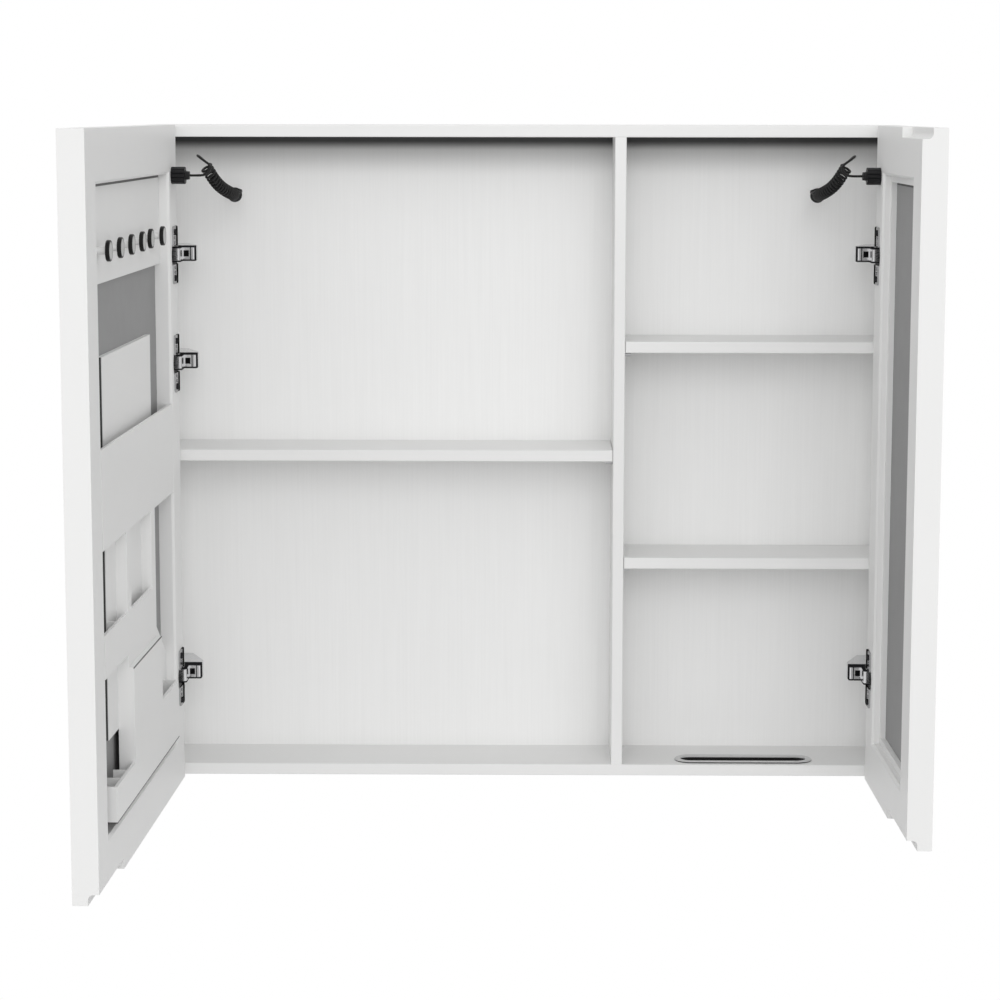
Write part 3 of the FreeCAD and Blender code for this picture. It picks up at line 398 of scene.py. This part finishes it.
# plated flange with painted shade: painted duller inside the cup and painted black along the lip next to
# the hinge edge
def makeHingeCup(label):
    material, tree, shader, coords, color = makePlatedMetal(label + "HingeCup", cupPlate)
    lip = hingeCup["lip"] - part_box(label + "_hinge_cup_1")[1][1]
    clear = planeMask(tree, coords, front, lip, lip + hingeCup["lipFade"])
    lipped = paintBlackShade(tree, shader, clear, color, hingeCup["lipShadeColor"])
    wellFace = hingeCup["wellFace"][label]
    proud = planeMask(tree, coords, doorInwards[label], wellFace - hingeCup["wellShadeFade"], wellFace)
    mixInto(tree, shader, proud, lipped, hingeCup["wellShadeColor"])
    return material


# the dark colour is painted shade in the slot and groove and painted dark reflection along the edges
armShadeAndReflection = {"faceGap": 0.001, "stepLow": 0.0008, "stepHigh": 0.0002, "depth": 0.010, "depthFade": 0.002,
            "outline": 0.0014, "outlineFade": 0.0006, "color": (0.02, 0.02, 0.022)}


# plated arm with painted shade in its slot and groove and a painted dark reflection round the edge of its
# front face
def makeHingeArm(name):
    material, tree, shader, coords, color = makePlatedMetal(name, nickelPlate)
    low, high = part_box(name)
    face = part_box("left_side")[0][1] - armShadeAndReflection["faceGap"]
    edge = armShadeAndReflection["outline"]
    fade = edge + armShadeAndReflection["outlineFade"]
    behind = face + armShadeAndReflection["depth"]
    proud = planeMask(tree, coords, front, -face - armShadeAndReflection["stepLow"], -face - armShadeAndReflection["stepHigh"])
    under = planeMask(tree, coords, down, edge - high[2], fade - high[2])
    over = planeMask(tree, coords, up, low[2] + edge, low[2] + fade)
    deep = planeMask(tree, coords, back, behind, behind + armShadeAndReflection["depthFade"])
    inside = joinMasks(tree, "MINIMUM", proud, joinMasks(tree, "MINIMUM", under, over))
    plated = joinMasks(tree, "MAXIMUM", inside, deep)
    paintBlackShade(tree, shader, plated, color, armShadeAndReflection["color"])
    return material


mirrorGlass = {"color": (0.86, 0.88, 0.88), "smudgeScale": 11.0, "smudgeDetail": 5.0, "smudgeFrom": 0.45,
               "smudgeTo": 0.8, "smudgeTint": 0.97, "low": 0.012, "high": 0.045}


def makeMirror():
    look = mirrorGlass
    material, tree, shader, coords = newMaterial("mirrorGlass")
    shader.inputs["Metallic"].default_value = 1.0
    smudge = addNode(tree, "ShaderNodeTexNoise", (-700, 0))
    setInputs(smudge, {"Scale": look["smudgeScale"], "Detail": look["smudgeDetail"]})
    spread = addNode(tree, "ShaderNodeMapRange", (-450, 0))
    setInputs(spread, {"From Min": look["smudgeFrom"], "From Max": look["smudgeTo"],
                       "To Min": look["low"], "To Max": look["high"]})
    tint = addNode(tree, "ShaderNodeValToRGB", (-450, 250))
    tint.color_ramp.elements[0].color = (*look["color"], 1)
    tint.color_ramp.elements[1].color = (*[c * look["smudgeTint"] for c in look["color"]], 1)
    link = tree.links.new
    link(coords, smudge.inputs["Vector"])
    link(smudge.outputs["Fac"], spread.inputs["Value"])
    link(smudge.outputs["Fac"], tint.inputs["Fac"])
    link(spread.outputs["Result"], shader.inputs["Roughness"])
    link(tint.outputs["Color"], shader.inputs["Base Color"])
    return material


slotMaterials = {
    "white_board": makePaint("boardPaint", boardPaint),
    "white_panel": makeBackLaminate(),
    "mirror": makeMirror(),
    "grey_backing": makePaint("greyBacking", greyBacking),
    "hinge_chrome": makePlatedMetal("nickelPlate", nickelPlate)[0],
    "steel": makePlatedMetal("zincPlate", zincPlate)[0],
    "black_plastic": makePlastic("blackPlastic", blackPlastic)[0],
    "lead": makePlastic("leadRubber", leadRubber)[0],
    "bezel": makeShadedBezel(),
}
shadedScrewMaterial = makePlatedMetal("screwPaintedShade", screwPaintedShade)[0]
cupMaterials = {label: makeHingeCup(label) for label in doorInwards}
pieceMaterials = {"hooks": makeHookSheenPlastic(), **makeShadeLinePaints()}


def materialFor(name, slot):
    if name in pieceMaterials:
        return pieceMaterials[name]
    if name.endswith("_screws"):
        return shadedScrewMaterial
    if "_hinge_cup_" in name:
        return cupMaterials[name.split("_")[0]]
    if "_hinge_arm_" in name:
        return makeHingeArm(name)
    return slotMaterials[slot]


for part in frame["record"]["subparts"]:
    piece = nodes[part["node"]]
    piece.data.materials.clear()
    piece.data.materials.append(materialFor(part["node"], part["material_slot"]))


# curly leads: the same middle line as the solid's, wound by the same rule
lead = {
    "radius": 0.0013, "coilRadius": 0.0055, "coilStart": 0.25, "turns": 20.0, "pointsPerTurn": 18,
    "straight": 0.0052, "lineSteps": 24, "tubeSteps": 2, "roundSteps": 3,
    "coilRoute": [(0.3336, -0.1380, 0.0064), (0.3303, -0.1345, 0.0002), (0.3268, -0.1290, -0.0067),
                  (0.3220, -0.1200, -0.0138), (0.3159, -0.1070, -0.0195), (0.3117, -0.0880, -0.0230),
                  (0.3125, -0.0720, -0.0240)],
    "rise": [(0.3387, -0.1471, -0.0020), (0.3319, -0.1481, -0.0010), (0.3262, -0.1484, 0.0070),
             (0.3341, -0.1484, 0.0130), (0.3422, -0.1460, 0.0185), (0.3422, -0.1367, 0.0185),
             (0.3365, -0.1334, 0.0131), (0.3315, -0.1343, 0.0094), (0.3287, -0.1374, 0.0096)],
    "tail": [(0.3071, -0.0708, -0.0186), (0.3032, -0.0608, -0.0211), (0.3170, -0.0446, -0.0260),
             (0.3170, -0.0282, -0.0260), (0.3170, -0.0230, -0.0260)],
    "left": {"side": -1, "exit": (-0.35017, -0.14622, -0.002), "length": 0.817},
    "right": {"side": 1, "exit": (0.34985, -0.14561, -0.002), "length": 0.817},
}


def splineObject(name, points, resolution):
    curve = bpy.data.curves.new(name, "CURVE")
    curve.dimensions = "3D"
    spline = curve.splines.new("NURBS")
    spline.points.add(len(points) - 1)
    for point, place in zip(spline.points, points):
        point.co = (*place, 1)
    spline.order_u = 3  # after the points, or it stays straight
    spline.use_endpoint_u = True
    spline.resolution_u = resolution
    item = bpy.data.objects.new(name, curve)
    scene.collection.objects.link(item)
    return item


def pointsOn(item):
    mesh = bpy.data.meshes.new_from_object(item)
    places = [vertex.co.copy() for vertex in mesh.vertices]
    bpy.data.meshes.remove(mesh)
    return places


# the routes are written for the right side
def onSide(side, places):
    return [Vector((side * x, y, z)) for x, y, z in places]


def woundPoints(side, line):
    steps = [0.0]
    for a, b in zip(line, line[1:]):
        steps.append(steps[-1] + (b - a).length)
    inwards = Vector((-side, 0, 0))
    wound = lead["turns"] - lead["coilStart"]
    count = round(wound * lead["pointsPerTurn"])
    radius = lead["coilRadius"] / math.cos(math.pi / lead["pointsPerTurn"])  # the curve cuts its corners
    places = []
    for number in range(count + 1):
        share = number / count
        phase = 2 * math.pi * (lead["coilStart"] + wound * share)
        reach = share * steps[-1]
        index = max(i for i in range(len(steps) - 1) if steps[i] <= reach)
        part = (reach - steps[index]) / (steps[index + 1] - steps[index])
        centre = line[index].lerp(line[index + 1], part)
        along = (line[index + 1] - line[index]).normalized()
        across = (inwards - along * along.dot(inwards)).normalized()
        aside = along.cross(across) * side
        places.append(centre + across * (radius * math.sin(phase)) + aside * (radius * math.cos(phase)))
    return places


def makeLead(label):
    side = lead[label]["side"]
    middle = splineObject(label + "CoilLine", onSide(side, lead["coilRoute"]), lead["lineSteps"])
    line = pointsOn(middle)
    bpy.data.objects.remove(middle)
    exitPoint = Vector(lead[label]["exit"])
    route = [exitPoint, exitPoint + Vector(doorInwards[label]) * lead["straight"]]
    route += onSide(side, lead["rise"])
    route += woundPoints(side, line)
    route += onSide(side, lead["tail"])
    tube = splineObject(label + "CurlyLead", route, lead["tubeSteps"])
    path = pointsOn(tube)
    tube.data.bevel_depth = lead["radius"]
    tube.data.bevel_resolution = lead["roundSteps"]
    tube.data.use_fill_caps = True
    bpy.ops.object.select_all(action="DESELECT")
    tube.select_set(True)
    bpy.context.view_layer.objects.active = tube
    bpy.ops.object.convert(target="MESH")
    tube = bpy.context.view_layer.objects.active
    bpy.ops.object.shade_smooth()
    tube.data.materials.clear()
    tube.data.materials.append(slotMaterials["lead"])
    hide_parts(label + "_lead")
    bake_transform(tube)
    length = sum((b - a).length for a, b in zip(path, path[1:]))
    print(label, "lead:", len(path), "points", round(length, 4), "m")


for sideLabel in ("left", "right"):
    makeLead(sideLabel)


studio = {"floorHeight": -1.9, "floorSize": 16.0, "floorColor": (0.58, 0.58, 0.58),
          "skyEven": 0.80, "skyFront": 0.44, "white": (1, 1, 1, 1)}


# white to the camera, mirrors and glass, and plain for the light that it gives the object
def whiteWhereSeen(tree, lit, white, endKind):
    paths = addNode(tree, "ShaderNodeLightPath", (-700, 350))
    seen = joinMasks(tree, "MAXIMUM", paths.outputs["Is Camera Ray"], paths.outputs["Is Glossy Ray"])
    seen = joinMasks(tree, "MAXIMUM", seen, paths.outputs["Is Transmission Ray"])
    mix = addNode(tree, "ShaderNodeMixShader", (0, 0))
    end = addNode(tree, endKind, (250, 0))
    link = tree.links.new
    link(seen, mix.inputs["Fac"])
    link(lit.outputs[0], mix.inputs[1])
    link(white.outputs[0], mix.inputs[2])
    link(mix.outputs[0], end.inputs["Surface"])


# floor far below the cabinet
def makeFloor():
    bpy.ops.object.select_all(action="DESELECT")
    bpy.ops.mesh.primitive_plane_add(size=studio["floorSize"], location=(0, 0, studio["floorHeight"]))
    floor = bpy.context.object
    floor.name = "studioFloor"
    material = bpy.data.materials.new("studioFloor")
    material.use_nodes = True
    tree = material.node_tree
    tree.nodes.clear()
    paint = addNode(tree, "ShaderNodeBsdfDiffuse", (-250, 0))
    setInputs(paint, {"Color": (*studio["floorColor"], 1)})
    glow = addNode(tree, "ShaderNodeEmission", (-250, -150))
    setInputs(glow, {"Color": studio["white"]})
    whiteWhereSeen(tree, paint, glow, "ShaderNodeOutputMaterial")
    floor.data.materials.append(material)


def makeWorld():
    world = bpy.data.worlds.new("studioSky")
    scene.world = world
    world.use_nodes = True
    tree = world.node_tree
    tree.nodes.clear()
    coords = addNode(tree, "ShaderNodeTexCoord", (-900, 0))
    split = addNode(tree, "ShaderNodeSeparateXYZ", (-700, 0))
    strength = addNode(tree, "ShaderNodeMath", (-550, 50), operation="MULTIPLY_ADD")
    setInputs(strength, {1: -studio["skyFront"], 2: studio["skyEven"]})  # brighter in front of the cabinet
    light = addNode(tree, "ShaderNodeBackground", (-250, 0))
    white = addNode(tree, "ShaderNodeBackground", (-250, -200))
    for sky in (light, white):
        setInputs(sky, {"Color": studio["white"]})
    link = tree.links.new
    link(coords.outputs["Generated"], split.inputs[0])
    link(split.outputs["Y"], strength.inputs[0])
    link(strength.outputs[0], light.inputs["Strength"])
    whiteWhereSeen(tree, light, white, "ShaderNodeOutputWorld")


keyLight = {"place": (0.5, -7.1, 1.9), "aim": (0, -0.1, -0.3), "size": 3.6, "power": 100.0}


def makeLight(name, look):
    data = bpy.data.lights.new(name, "AREA")
    data.shape = "SQUARE"
    data.size = look["size"]
    data.energy = look["power"]
    item = bpy.data.objects.new(name, data)
    scene.collection.objects.link(item)
    item.visible_glossy = False  # no softbox shape in the mirrors
    item.location = look["place"]
    towards = Vector(look["aim"]) - Vector(look["place"])
    item.rotation_euler = towards.to_track_quat("-Z", "Y").to_euler()


makeFloor()
makeWorld()
makeLight("keyLight", keyLight)
print("floor, sky and light ready")

# camera as solved from the photograph
view = {"place": (0.00146, -3.02874, 0.06846), "tiltDown": 0.14166, "turn": 0.009865, "roll": -0.00118,
        "lens": 99.10, "sensor": 36.0, "clipEnd": 60.0}
cameraData = bpy.data.cameras.new("photoCamera")
cameraData.lens = view["lens"]
cameraData.sensor_width = view["sensor"]
cameraData.clip_end = view["clipEnd"]
camera = bpy.data.objects.new("photoCamera", cameraData)
scene.collection.objects.link(camera)
camera.location = view["place"]
camera.rotation_euler = (math.pi / 2 - view["tiltDown"], view["roll"], view["turn"])
scene.camera = camera
scene.view_settings.view_transform = "Standard"
print("camera ready")
